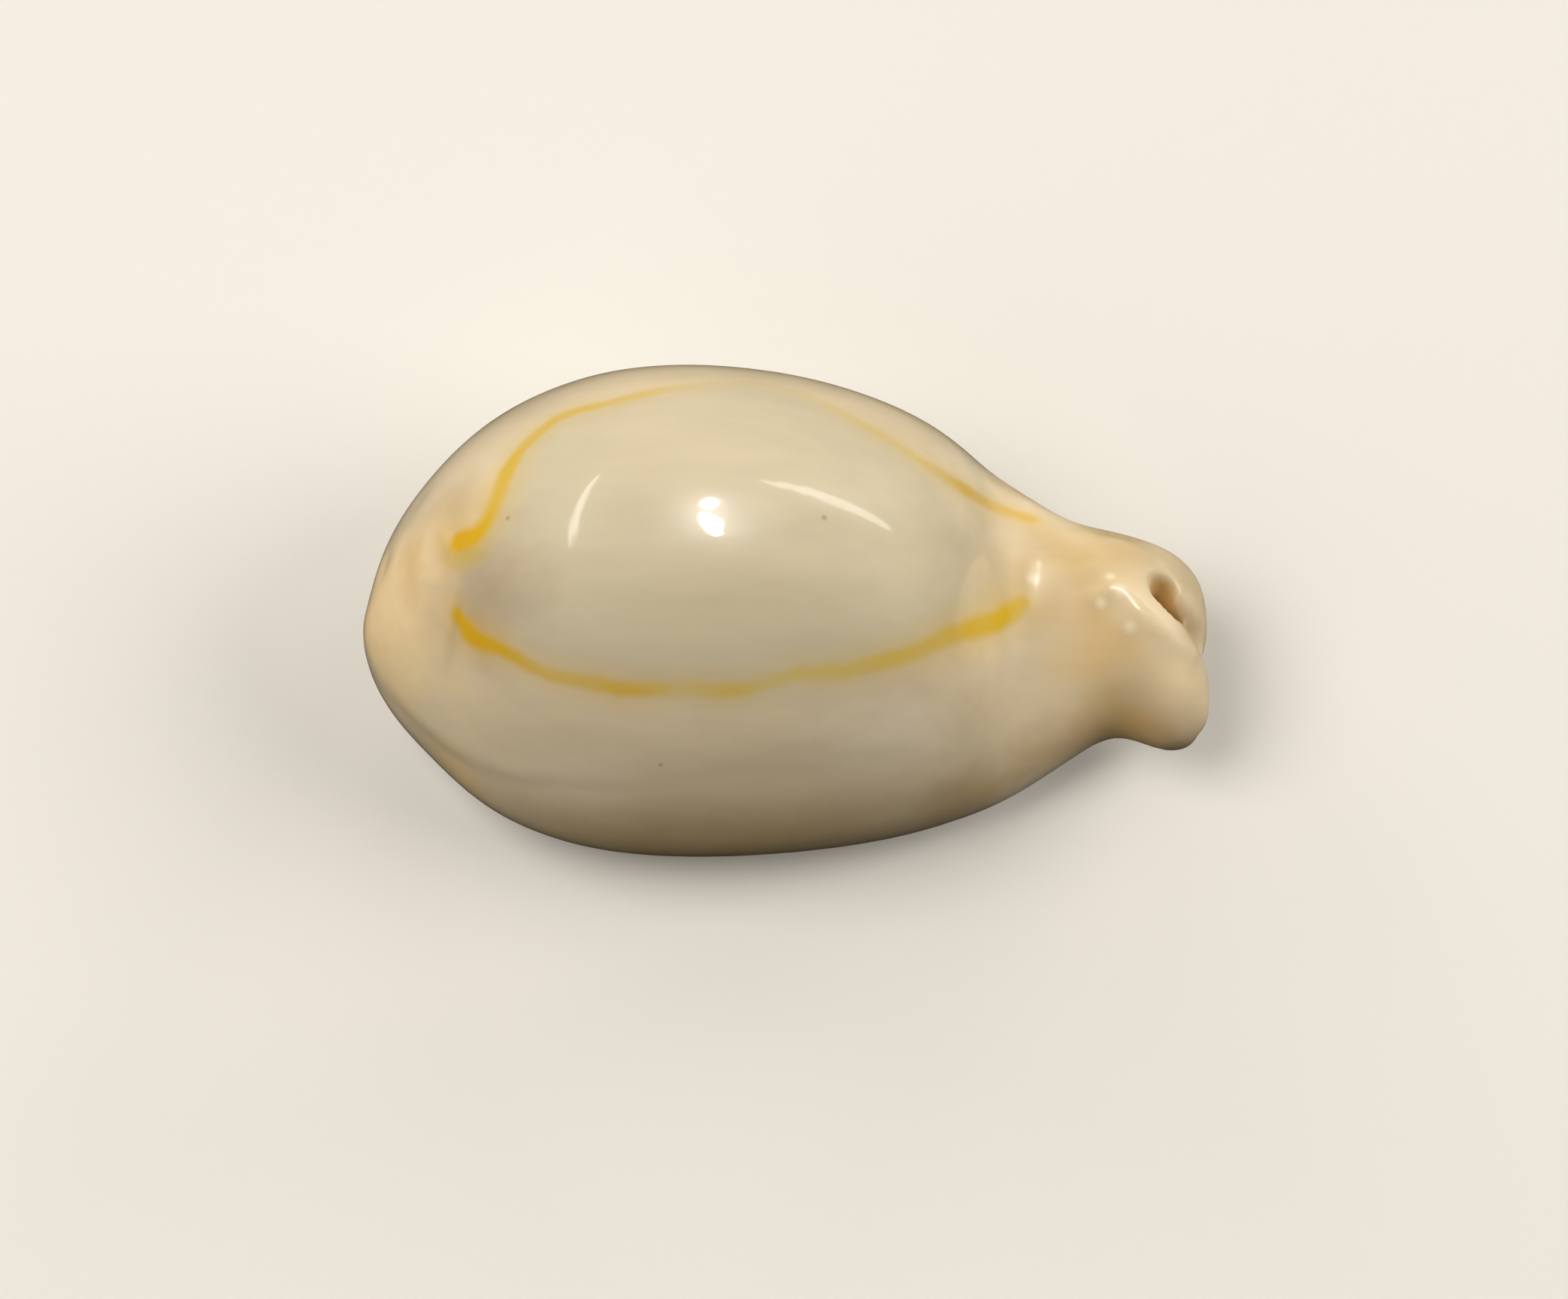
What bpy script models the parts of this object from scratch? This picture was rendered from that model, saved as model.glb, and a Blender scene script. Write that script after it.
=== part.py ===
"""A ringed cowrie shell with a drawn-out, upturned front end, resting on its flat base.

The shell is one closed piece, hollow, with its slit of an aperture on the base. X runs along it with the
front end (the beak) at +X. The outer lip is on the -Y side, the inner lip on the +Y side, and Z is up. The
outlines are written in millimetres and turned into metres once, when a mesh is made.
"""

import bmesh
import bpy
import numpy as np
from mathutils import Vector

MM = 0.001

# Driving dimensions, in millimetres
LENGTH = 28.0
ROOF_WALL = 1.2
OUTER_LIP_WALL = 2.0
INNER_LIP_WALL = 1.6
FLOOR_WALL = 2.2
REAR_WALL = 2.2
FRONT_WALL = 4.5
LIP_ROUNDING = 0.9

# Fineness of the solid: the grid that evens it out, the passes that ease it, and the share of triangles kept
EVEN_GRID = 0.2
EASING_PASSES = 3
TRIANGLE_SHARE = 0.068

# Height of the widest line, as a share of the height from the base to the crest
WIDEST_OUTER = 0.27
WIDEST_INNER = 0.40

# Outline from above: (x, y) round the shell, starting at the beak's tip
PLAN = [
    (14.0, -1.5), (13.99, 0.2), (13.75, 1.3), (13.0, 2.1), (12.0, 2.56), (10.8, 2.95), (9.5, 3.42),
    (8.0, 4.48), (6.0, 5.83), (3.5, 6.94), (0.5, 7.65), (-3.0, 7.94), (-6.5, 7.57), (-9.5, 6.33),
    (-12.0, 4.15), (-13.2, 2.25), (-13.8, 0.2), (-14.0, -1.1), (-13.5, -2.6), (-12.0, -4.5),
    (-9.5, -6.7), (-6.0, -7.97), (-2.5, -8.2), (1.5, -7.85), (5.0, -6.95), (8.0, -5.5),
    (9.6, -4.48), (11.0, -3.92), (12.2, -4.36), (13.15, -4.52), (13.9, -3.88), (14.0, -2.9),
]

# Outline from the side: (x, z) over the crest from the beak to the rear, then back along the base
SIDE = [
    (14.0, 3.7), (13.6, 4.9), (12.8, 5.85), (11.7, 6.3), (10.6, 6.3), (9.4, 6.09), (8.8, 6.02),
    (8.25, 5.99), (7.75, 6.03), (7.15, 6.32), (6.2, 7.6), (4.8, 9.55), (2.5, 11.15), (-0.5, 12.2),
    (-3.5, 12.5), (-6.5, 12.1), (-9.3, 10.95), (-11.6, 9.0), (-13.2, 6.8), (-14.0, 4.0), (-13.3, 1.6),
    (-11.0, 0.5), (-7.0, -0.15), (-1.0, -0.28), (5.0, -0.15), (9.0, 0.5), (12.0, 1.3), (13.5, 2.1),
]

# How far the crest leans towards the inner lip along the shell: (x, lean)
CREST_LEAN = [
    (-14.0, 0.0), (-5.0, 0.0), (4.0, 0.0), (6.5, 0.5), (8.2, 1.05), (10.0, 0.45), (12.0, 0.0), (14.0, 0.0),
]

# The aperture and its two canals: x, y at the base, width, height of its roof, and lean (the y it gains per
# millimetre of height)
APERTURE = [
    (-15.0, 2.3, 1.5, 2.6, 0.0),
    (-13.0, 1.6, 1.4, 2.9, 0.0),
    (-10.0, 0.9, 1.3, 4.0, 0.0),
    (-6.0, 0.1, 1.4, 4.6, 0.0),
    (-2.0, -0.6, 1.5, 4.6, 0.0),
    (3.0, -1.0, 1.7, 4.6, 0.0),
    (7.0, -1.0, 1.9, 4.6, 0.0),
    (9.5, -1.15, 1.7, 4.3, 0.1),
    (11.2, -1.5, 1.3, 4.2, 0.3),
    (12.3, -2.05, 1.15, 4.2, 0.42),
    (13.2, -2.2, 0.4, 4.2, 0.24),
    (14.0, -2.0, 0.36, 4.2, 0.05),
    (15.0, -1.95, 0.36, 4.2, 0.0),
]
APERTURE_DEPTH_BELOW = 2.0

# How round the aperture's roof is, from a flat one at 0 to a half circle at 1
ARCHING = 0.96

# The front canal also opens through the top of the beak, between these two x
CANAL_OPENS_X = 12.2
CANAL_CLOSES_X = 12.8
CANAL_OPENS_OVER = 0.3
CANAL_OPENING_HEIGHT = 4.0

# The bowl where the front canal comes out on top of the beak: an egg's middle and its half sizes
CANAL_MOUTH = (12.4, -0.05, 5.9)
CANAL_MOUTH_RADII = (0.5, 0.62, 1.1)

# The valley between the beak's two lobes, from the canal's mouth down to the notch in the tip
VALLEY_START = (12.68, -0.04, 6.1)
VALLEY_END = (14.68, -2.39, 3.9)
VALLEY_HALF_WIDTH = 0.53
VALLEY_DEPTH = 0.48

# Teeth along both lips: their spacing, the depth of the grooves between them, how far the grooves run out
# over the base and up into the slit, and the x where they start and end, with the length that they fade over
TOOTH_SPACING = 1.35
TOOTH_DEPTH = 0.5
TOOTH_REACH = 2.3
TOOTH_HEIGHT = 2.6
TEETH_REAR_X = -12.0
TEETH_FRONT_X = 11.5
TEETH_FADE = 2.2
GROOVE_SHARPNESS = 1.5

# The callus round the rear end: a low swelling whose front edge steps down to the back of the shell
CALLUS_EDGE_X = -11.0
CALLUS_RISE = 0.18
CALLUS_STEP_WIDTH = 0.4
CALLUS_LENGTH = 1.6
CALLUS_MIDDLE_Y = -0.8
CALLUS_HALF_WIDTH = 2.6
CALLUS_LOWEST_Z = 5.0

SHELL_COLOUR = (0.72, 0.62, 0.46, 1.0)
SHELL_ROUGHNESS = 0.12


def clear_scene():
    for old in list(bpy.data.objects):
        bpy.data.objects.remove(old, do_unlink=True)


def new_collection(name):
    collection = bpy.data.collections.new(name)
    bpy.context.scene.collection.children.link(collection)
    return collection


def spline(knots, values, closed=False):
    """The cubic spline through the values at the knots, as a function. A closed one ends where it starts."""
    knots = np.asarray(knots, float)
    values = np.asarray(values, float)
    steps = np.diff(knots)
    slopes = np.diff(values, axis=0) / steps[:, None]
    matrix = np.eye(len(knots))
    bends = np.zeros_like(values)
    for i in range(1, len(knots) - 1):
        matrix[i, i - 1:i + 2] = steps[i - 1], 2 * (steps[i - 1] + steps[i]), steps[i]
        bends[i] = 6 * (slopes[i] - slopes[i - 1])
    if closed:
        matrix[0, 0] = 2 * (steps[-1] + steps[0])
        matrix[0, 1] = steps[0]
        matrix[0, -2] = steps[-1]
        bends[0] = 6 * (slopes[0] - slopes[-1])
        matrix[-1, 0] = -1
    bends = np.linalg.solve(matrix, bends)

    def at(t):
        t = np.asarray(t, float)
        i = np.clip(np.searchsorted(knots, t) - 1, 0, len(steps) - 1)
        step = steps[i][:, None]
        after = (t - knots[i])[:, None]
        before = step - after
        cubic = (bends[i] * before**3 + bends[i + 1] * after**3) / (6 * step)
        start = (values[i] / step - bends[i] * step / 6) * before
        end = (values[i + 1] / step - bends[i + 1] * step / 6) * after
        return cubic + start + end

    return at


def both_sides(outline):
    """Splits a smooth closed outline at its two ends: its upper and lower values, as functions of x."""
    loop = np.array(outline + outline[:1])
    along = np.concatenate([[0.0], np.cumsum(np.linalg.norm(np.diff(loop, axis=0), axis=1))])
    points = spline(along, loop, closed=True)(np.linspace(0, along[-1], 4000, endpoint=False))
    xs = points[:, 0]
    points[:, 0] = (xs - xs.min()) / (xs.max() - xs.min()) * LENGTH - LENGTH / 2
    points = np.roll(points, -int(points[:, 0].argmax()), axis=0)
    rear = int(points[:, 0].argmin())
    upper = points[:rear + 1][::-1]
    lower = np.concatenate([points[rear:], points[:1]])
    return upper, lower


def read(side, x):
    return np.interp(x, side[:, 0], side[:, 1])


PLAN_INNER, PLAN_OUTER = both_sides(PLAN)
SIDE_TOP, SIDE_BASE = both_sides(SIDE)
STATIONS = np.linspace(-LENGTH / 2, LENGTH / 2, 2000)
LEAN_AT = spline([row[0] for row in CREST_LEAN], [row[1:] for row in CREST_LEAN])
LEAN = np.column_stack([STATIONS, LEAN_AT(STATIONS)])
APERTURE_AT = spline([row[0] for row in APERTURE], [row[1:] for row in APERTURE])
NO_WALLS = (0.0, 0.0, 0.0, 0.0)
CAVITY_WALLS = (OUTER_LIP_WALL, INNER_LIP_WALL, ROOF_WALL, FLOOR_WALL)


def section_point(x, across, upward, walls=NO_WALLS):
    """(y, z) on the section at x. across and upward are the cosine and sine of the angle round it."""
    outer_wall, inner_wall, roof_wall, floor_wall = walls
    inner = read(PLAN_INNER, x) - inner_wall
    outer = read(PLAN_OUTER, x) + outer_wall
    top = read(SIDE_TOP, x) - roof_wall
    base = read(SIDE_BASE, x) + floor_wall
    widest = WIDEST_OUTER + (WIDEST_INNER - WIDEST_OUTER) * (1 + across) / 2
    height = top - base
    lean = read(LEAN, x) * np.maximum(0.0, upward) ** 2
    y = (inner + outer) / 2 + (inner - outer) / 2 * across + lean
    z = base + widest * height + height / 2 * upward + (0.5 - widest) * height * upward**2
    return y, z


def object_from(bm, name, collection):
    mesh = bpy.data.meshes.new(name)
    bm.to_mesh(mesh)
    bm.free()
    made = bpy.data.objects.new(name, mesh)
    collection.objects.link(made)
    return made


def form(name, collection, rear, front, walls, rings, around):
    """A sphere with its poles at the two ends, drawn out to the shell's sections, less the walls.

    A cavity's sections don't shrink to points at its ends, so there they are drawn in to round them off.
    """
    bm = bmesh.new()
    bmesh.ops.create_uvsphere(bm, u_segments=around, v_segments=rings, radius=1.0)
    for vert in bm.verts:
        ring = max(1e-9, np.hypot(vert.co.x, vert.co.y))
        x = (front + rear) / 2 + (front - rear) / 2 * vert.co.z
        y, z = section_point(x, vert.co.x / ring, vert.co.y / ring, walls)
        if walls != NO_WALLS:
            middle_y, middle_z = section_middle(x, walls)
            drawn_in = ring**0.5
            y = middle_y + (y - middle_y) * drawn_in
            z = middle_z + (z - middle_z) * drawn_in
        vert.co = (x * MM, y * MM, z * MM)
    return object_from(bm, name, collection)


def section_middle(x, walls):
    high = section_point(x, 0.0, 1.0, walls)
    low = section_point(x, 0.0, -1.0, walls)
    return (high[0] + low[0]) / 2, (high[1] + low[1]) / 2


def base_height(x):
    """Height of the base at x, and never below the flat that the shell rests on."""
    return np.maximum(0.0, read(SIDE_BASE, np.clip(x, -LENGTH / 2, LENGTH / 2)))


def aperture_cutter(collection, cuts):
    """A block drawn along the aperture: arched on top, and flared below so that the lips are rounded."""
    bm = bmesh.new()
    bmesh.ops.create_cube(bm, size=1.0)
    bmesh.ops.subdivide_edges(bm, edges=bm.edges, cuts=cuts, use_grid_fill=True)
    first, last = APERTURE[0][0], APERTURE[-1][0]
    for vert in bm.verts:
        x = first + (last - first) * (vert.co.x + 0.5)
        y, width, roof, lean = APERTURE_AT([x])[0]
        opened = smooth_step((x - CANAL_OPENS_X) / CANAL_OPENS_OVER + 0.5)
        opened *= smooth_step((CANAL_CLOSES_X - x) / CANAL_OPENS_OVER + 0.5)
        roof += CANAL_OPENING_HEIGHT * opened
        z = -APERTURE_DEPTH_BELOW + (roof + APERTURE_DEPTH_BELOW) * (vert.co.z + 0.5)
        above_base = z - base_height(x)
        below = np.clip(LIP_ROUNDING - above_base, 0.0, LIP_ROUNDING)
        flare = LIP_ROUNDING - np.sqrt(LIP_ROUNDING**2 - below**2)
        above_spring = np.clip((z - roof) / (width / 2) + 1, 0.0, 1.0)
        arch = np.sqrt(1 - ARCHING * above_spring**2)
        y += lean * max(0.0, above_base) + vert.co.y * (width * arch + 2 * flare)
        vert.co = (x * MM, y * MM, z * MM)
    bmesh.ops.recalc_face_normals(bm, faces=bm.faces)
    return object_from(bm, "aperture_cutter", collection)


def canal_mouth_cutter(collection):
    bm = bmesh.new()
    bmesh.ops.create_uvsphere(bm, u_segments=32, v_segments=16, radius=MM)
    bmesh.ops.scale(bm, verts=bm.verts, vec=CANAL_MOUTH_RADII)
    bmesh.ops.translate(bm, verts=bm.verts, vec=[place * MM for place in CANAL_MOUTH])
    return object_from(bm, "canal_mouth_cutter", collection)


def valley_cutter(collection):
    """A long egg that lies along the valley."""
    start, end = Vector(VALLEY_START), Vector(VALLEY_END)
    bm = bmesh.new()
    bmesh.ops.create_uvsphere(bm, u_segments=32, v_segments=16, radius=MM)
    bmesh.ops.scale(bm, verts=bm.verts, vec=((end - start).length / 2, VALLEY_HALF_WIDTH, VALLEY_DEPTH))
    turn = (end - start).to_track_quat("X", "Z").to_matrix()
    bmesh.ops.rotate(bm, verts=bm.verts, cent=(0, 0, 0), matrix=turn)
    bmesh.ops.translate(bm, verts=bm.verts, vec=(start + end) / 2 * MM)
    return object_from(bm, "valley_cutter", collection)


def ground_cutter(collection):
    """A block whose top is the flat that the shell rests on."""
    bm = bmesh.new()
    bmesh.ops.create_cube(bm, size=2 * LENGTH * MM)
    bmesh.ops.translate(bm, verts=bm.verts, vec=(0, 0, -LENGTH * MM))
    return object_from(bm, "ground_cutter", collection)


def hide(cutter):
    cutter.hide_render = True
    cutter.display_type = "WIRE"


def cut_by(target, cutter, name):
    modifier = target.modifiers.new(name, "BOOLEAN")
    modifier.operation = "DIFFERENCE"
    modifier.solver = "EXACT"
    modifier.object = cutter
    hide(cutter)


def smooth_step(value):
    value = np.clip(value, 0.0, 1.0)
    return value * value * (3 - 2 * value)


def tooth_grooves(points):
    """Depth of the grooves between the teeth, at each point."""
    x, y, z = points.T
    slit_y, width, _, lean = APERTURE_AT(x).T
    above_base = np.maximum(0.0, z - base_height(x))
    from_edge = np.abs(y - slit_y - lean * above_base) - width / 2
    near = 1 - smooth_step(from_edge / TOOTH_REACH)
    low = 1 - smooth_step(above_base / TOOTH_HEIGHT)
    ends = smooth_step((x - TEETH_REAR_X) / TEETH_FADE) * smooth_step((TEETH_FRONT_X - x) / TEETH_FADE)
    groove = 0.5 - 0.5 * np.cos(2 * np.pi * x / TOOTH_SPACING)
    return TOOTH_DEPTH * groove**GROOVE_SHARPNESS * near * low * ends


def rear_callus(points):
    """Height of the callus over the rear end, at each point."""
    x, y, z = points.T
    behind = CALLUS_EDGE_X - x
    step = smooth_step(behind / CALLUS_STEP_WIDTH + 0.5)
    fade = np.exp(-np.maximum(0.0, behind) / CALLUS_LENGTH)
    across = np.exp(-((y - CALLUS_MIDDLE_Y) / CALLUS_HALF_WIDTH) ** 4)
    return CALLUS_RISE * step * fade * across * (z > CALLUS_LOWEST_Z)


def shape_surface(mesh):
    """Cuts the teeth, raises the callus, and sets the middle of the shell's box over the origin."""
    points = np.empty(len(mesh.vertices) * 3)
    normals = np.empty(len(mesh.vertices) * 3)
    mesh.vertices.foreach_get("co", points)
    mesh.vertex_normals.foreach_get("vector", normals)
    points = points.reshape(-1, 3) / MM
    normals = normals.reshape(-1, 3)
    points += normals * (rear_callus(points) - tooth_grooves(points))[:, None]
    middle = (points.min(axis=0) + points.max(axis=0)) / 2
    points -= (middle[0], middle[1], 0.0)
    mesh.vertices.foreach_set("co", (points * MM).reshape(-1))
    mesh.update()


def shell_material():
    material = bpy.data.materials.new("shell_enamel")
    material.use_nodes = True
    surface = material.node_tree.nodes["Principled BSDF"]
    surface.inputs["Base Color"].default_value = SHELL_COLOUR
    surface.inputs["Roughness"].default_value = SHELL_ROUGHNESS
    surface.inputs["Metallic"].default_value = 0.0
    return material


def cut_and_eased(blank, cutters):
    """The blank, cut, evened out on a grid and eased so that every edge is round, as a mesh."""
    for cutter in cutters:
        cut_by(blank, cutter, cutter.name)
    even = blank.modifiers.new("even", "REMESH")
    even.mode = "VOXEL"
    even.voxel_size = EVEN_GRID * MM
    ease = blank.modifiers.new("ease", "SMOOTH")
    ease.factor = 0.5
    ease.iterations = EASING_PASSES
    hide(blank)
    graph = bpy.context.evaluated_depsgraph_get()
    return bpy.data.meshes.new_from_object(blank.evaluated_get(graph))


def main():
    clear_scene()
    shells = new_collection("cowrie")
    cutters = new_collection("cutters")

    blank = form("blank", cutters, -LENGTH / 2, LENGTH / 2, NO_WALLS, rings=120, around=128)
    rear, front = -LENGTH / 2 + REAR_WALL, LENGTH / 2 - FRONT_WALL
    cavity = form("cavity_cutter", cutters, rear, front, CAVITY_WALLS, rings=48, around=48)
    aperture = aperture_cutter(cutters, cuts=63)
    mesh = cut_and_eased(blank, [cavity, aperture, canal_mouth_cutter(cutters), valley_cutter(cutters)])
    shape_surface(mesh)

    shell = bpy.data.objects.new("cowrie_shell", mesh)
    shells.objects.link(shell)
    mesh.name = shell.name
    mesh.materials.append(shell_material())
    mesh.shade_smooth()
    fewer = shell.modifiers.new("fewer", "DECIMATE")
    fewer.ratio = TRIANGLE_SHARE
    cut_by(shell, ground_cutter(cutters), "flat_base")


main()
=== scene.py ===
"""The looks of a ringed cowrie shell: its fine surface, its enamel and its ring, in plain soft studio light.

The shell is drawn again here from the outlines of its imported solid, on a finer grid. Then the callus, the
ridges, the dents and the teeth are shaped on it. Outlines and places are in millimetres.
"""

import bmesh
import bpy
import numpy as np
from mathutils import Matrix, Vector, noise
from mathutils.bvhtree import BVHTree

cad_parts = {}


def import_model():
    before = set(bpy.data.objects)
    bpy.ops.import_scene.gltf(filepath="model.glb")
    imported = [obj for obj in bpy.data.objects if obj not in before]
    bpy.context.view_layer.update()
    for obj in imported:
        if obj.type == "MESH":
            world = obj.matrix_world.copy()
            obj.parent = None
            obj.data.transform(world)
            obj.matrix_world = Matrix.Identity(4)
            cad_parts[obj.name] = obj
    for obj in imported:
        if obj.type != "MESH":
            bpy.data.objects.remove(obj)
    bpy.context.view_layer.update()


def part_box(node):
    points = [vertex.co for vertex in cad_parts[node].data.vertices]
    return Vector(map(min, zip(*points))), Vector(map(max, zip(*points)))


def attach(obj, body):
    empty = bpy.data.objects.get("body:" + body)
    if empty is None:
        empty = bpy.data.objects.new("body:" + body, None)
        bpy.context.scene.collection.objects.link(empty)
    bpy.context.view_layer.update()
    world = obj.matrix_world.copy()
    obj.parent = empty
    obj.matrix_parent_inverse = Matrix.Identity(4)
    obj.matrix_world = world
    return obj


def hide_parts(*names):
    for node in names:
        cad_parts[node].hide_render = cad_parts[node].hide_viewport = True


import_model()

MM = 0.001

# The shell's size and walls, as in its solid
LENGTH = 28.0
ROOF_WALL = 1.2
OUTER_LIP_WALL = 2.0
INNER_LIP_WALL = 1.6
FLOOR_WALL = 2.2
REAR_WALL = 2.2
FRONT_WALL = 4.5
LIP_ROUNDING = 0.9

# Fineness of the surface: the segments of its forms, the even grid that replaces them, and its easing
OUTLINE_SAMPLES = 4000
STATION_COUNT = 2000
BLANK_SEGMENTS = 200
CAVITY_SEGMENTS = 64
APERTURE_CUTS = 63
BALL_SEGMENTS = 48
EVEN_GRID = 0.17
EASING_PASSES = 9
EASING = 0.5

# Height of the widest line, as a share of the height from the base to the crest
WIDEST_OUTER = 0.27
WIDEST_INNER = 0.40

# Outline from above: (x, y) round the shell, starting at the beak's tip
PLAN = [
    (14.0, -1.5), (13.99, 0.2), (13.75, 1.3), (13.0, 2.1), (12.0, 2.56), (10.8, 2.95), (9.5, 3.42),
    (8.0, 4.48), (6.0, 5.83), (3.5, 6.94), (0.5, 7.65), (-3.0, 7.94), (-6.5, 7.57), (-9.5, 6.33),
    (-12.0, 4.15), (-13.2, 2.25), (-13.8, 0.2), (-14.0, -1.1), (-13.5, -2.6), (-12.0, -4.5),
    (-9.5, -6.7), (-6.0, -7.97), (-2.5, -8.2), (1.5, -7.85), (5.0, -6.95), (8.0, -5.5),
    (9.6, -4.48), (11.0, -3.92), (12.2, -4.36), (13.15, -4.52), (13.9, -3.88), (14.0, -2.9),
]

# Outline from the side: (x, z) over the crest from the beak to the rear, then back along the base
SIDE = [
    (14.0, 3.7), (13.6, 4.9), (12.8, 5.85), (11.7, 6.3), (10.6, 6.3), (9.4, 6.09), (8.8, 6.02),
    (8.25, 5.99), (7.75, 6.03), (7.15, 6.32), (6.2, 7.6), (4.8, 9.55), (2.5, 11.15), (-0.5, 12.2),
    (-3.5, 12.5), (-6.5, 12.1), (-9.3, 10.95), (-11.6, 9.0), (-13.2, 6.8), (-14.0, 4.0), (-13.3, 1.6),
    (-11.0, 0.5), (-7.0, -0.15), (-1.0, -0.28), (5.0, -0.15), (9.0, 0.5), (12.0, 1.3), (13.5, 2.1),
]

# How far the crest leans towards the inner lip along the shell: (x, lean)
CREST_LEAN = [
    (-14.0, 0.0), (-5.0, 0.0), (4.0, 0.0), (6.5, 0.5), (8.2, 1.05), (10.0, 0.45), (12.0, 0.0), (14.0, 0.0),
]

# The aperture and its two canals: x, y at the base, width, height of its roof, and lean (the y it gains per
# millimetre of height)
APERTURE = [
    (-15.0, 2.3, 1.5, 2.6, 0.0),
    (-13.0, 1.6, 1.4, 2.9, 0.0),
    (-10.0, 0.9, 1.3, 4.0, 0.0),
    (-6.0, 0.1, 1.4, 4.6, 0.0),
    (-2.0, -0.6, 1.5, 4.6, 0.0),
    (3.0, -1.0, 1.7, 4.6, 0.0),
    (7.0, -1.0, 1.9, 4.6, 0.0),
    (9.5, -1.15, 1.7, 4.3, 0.1),
    (11.2, -1.5, 1.3, 4.2, 0.3),
    (12.3, -2.05, 1.15, 4.2, 0.42),
    (13.2, -2.2, 0.4, 4.2, 0.24),
    (14.0, -2.0, 0.36, 4.2, 0.05),
    (15.0, -1.95, 0.36, 4.2, 0.0),
]
APERTURE_DEPTH_BELOW = 2.0
ARCHING = 0.96
CANAL_OPENS_X = 12.2
CANAL_CLOSES_X = 12.8
CANAL_OPENS_OVER = 0.3
CANAL_OPENING_HEIGHT = 4.0
CANAL_MOUTH = (12.4, -0.05, 5.9)
CANAL_MOUTH_RADII = (0.5, 0.62, 1.1)

# The valley between the beak's two lobes, from the canal's mouth to the tip
VALLEY_START = (12.68, -0.04, 6.1)
VALLEY_END = (14.68, -2.39, 3.9)
VALLEY_HALF_WIDTH = 0.53
VALLEY_DEPTH = 0.48

# How deep below the uncut form a point still counts as the skin, which takes the relief
SKIN_DEPTH = 0.4

# Teeth along both lips
TOOTH_SPACING = 1.35
TOOTH_DEPTH = 0.5
TOOTH_REACH = 2.3
TOOTH_HEIGHT = 2.6
TEETH_REAR_X = -12.0
TEETH_FRONT_X = 11.5
TEETH_FADE = 2.2
GROOVE_SHARPNESS = 1.5

# The callus round the rear end. Its front edge, as (y, x), steps down to the back of the shell
CALLUS_EDGE = [
    (-6.0, -12.0), (-3.5, -10.85), (-2.4, -10.5), (-1.5, -10.4), (-0.5, -10.6), (1.0, -11.0), (4.0, -12.0),
]
CALLUS_RISE = 0.10
CALLUS_STEP_WIDTH = 0.28
CALLUS_LENGTH = 1.8
CALLUS_MIDDLE_Y = -1.2
CALLUS_HALF_WIDTH = 2.4
CALLUS_LOWEST_Z = 4.0

# The shoulder of the outer lip's callus along the flank: (x, z), and how far it stands out along it. It
# starts at a share of the way out from the middle to the flank
SHOULDER = [
    (-14.5, 3.4, 0.0), (-13.5, 3.9, 0.03), (-12.0, 4.4, 0.07), (-9.9, 5.2, 0.08), (-6.9, 6.4, 0.06),
    (-4.5, 6.9, 0.03), (-2.3, 7.45, 0.02), (1.0, 7.6, 0.02), (4.0, 6.3, 0.02), (6.0, 5.0, 0.0),
]
SHOULDER_STEP_WIDTH = 1.1
SHOULDER_LENGTH = 1.8
SHOULDER_FROM_SHARE = 0.25

# Low ridges (above zero) and furrows (below zero) on the surface: height, half width, and the line
RIDGES = [
    (0.13, 0.42, [
        (10.1, -0.5), (10.6, -0.2), (10.95, -0.25), (11.4, -0.9), (12.0, -1.43), (12.7, -1.85), (13.3, -2.1),
    ]),
    (-0.05, 0.35, [(10.6, 0.35), (11.3, 0.25), (12.2, 0.0)]),
    (-0.03, 0.25, [(10.5, 2.3), (11.1, 2.2), (11.7, 1.95)]),
    (-0.02, 0.45, [(-12.35, 0.3), (-12.2, -0.6), (-12.25, -1.7)]),
]

# Small bumps (above zero) and dents (below zero): height, radius, and the place
BUMPS = [
    (0.05, 0.32, (10.3, 0.49, 6.17)),
    (0.07, 0.4, (11.23, -1.5, 6.1)),
    (0.05, 0.35, (10.55, -0.3, 6.31)),
    (-0.07, 0.5, (-13.1, 0.38, 6.7)),
    (0.10, 0.4, (-13.35, 1.95, 3.9)),
    (-0.08, 0.5, (-13.75, 1.2, 4.0)),
    (-0.04, 0.7, (-12.1, 2.35, 7.35)),
    (-0.07, 0.3, (13.75, -4.15, 2.9)),
    (-0.12, 0.5, (13.98, -1.35, 3.9)),
]

# Slow waves of the surface, which bend the reflections: height and length
WAVE_HEIGHT = 0.02
WAVE_LENGTH = 3.6

# The ring's two limbs from the rear: x, y, width, strength, and warmth (0 olive, 1 orange)
UPPER_LIMB = [
    (-10.45, -0.22, 0.83, 1.15, 0.9), (-9.86, -0.15, 0.80, 1.0, 0.75), (-9.36, 0.60, 0.84, 1.0, 0.6),
    (-9.06, 1.62, 0.76, 0.95, 0.6), (-8.65, 2.58, 0.70, 0.9, 0.6), (-8.02, 3.38, 0.68, 0.8, 0.5),
    (-7.32, 4.00, 0.62, 0.75, 0.5), (-6.12, 4.33, 0.60, 0.62, 0.5), (-4.07, 4.97, 0.61, 0.45, 0.45),
    (-2.55, 5.37, 0.63, 0.22, 0.3), (-1.10, 5.61, 0.63, 0.16, 0.2), (0.22, 5.35, 0.70, 0.17, 0.2),
    (1.73, 4.59, 0.73, 0.3, 0.3), (3.18, 3.79, 0.75, 0.4, 0.4), (4.68, 2.98, 0.74, 0.52, 0.5),
    (5.86, 2.77, 0.76, 0.78, 0.6), (7.03, 2.81, 0.66, 0.65, 0.6), (8.10, 2.59, 0.52, 0.75, 0.7),
]
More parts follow.
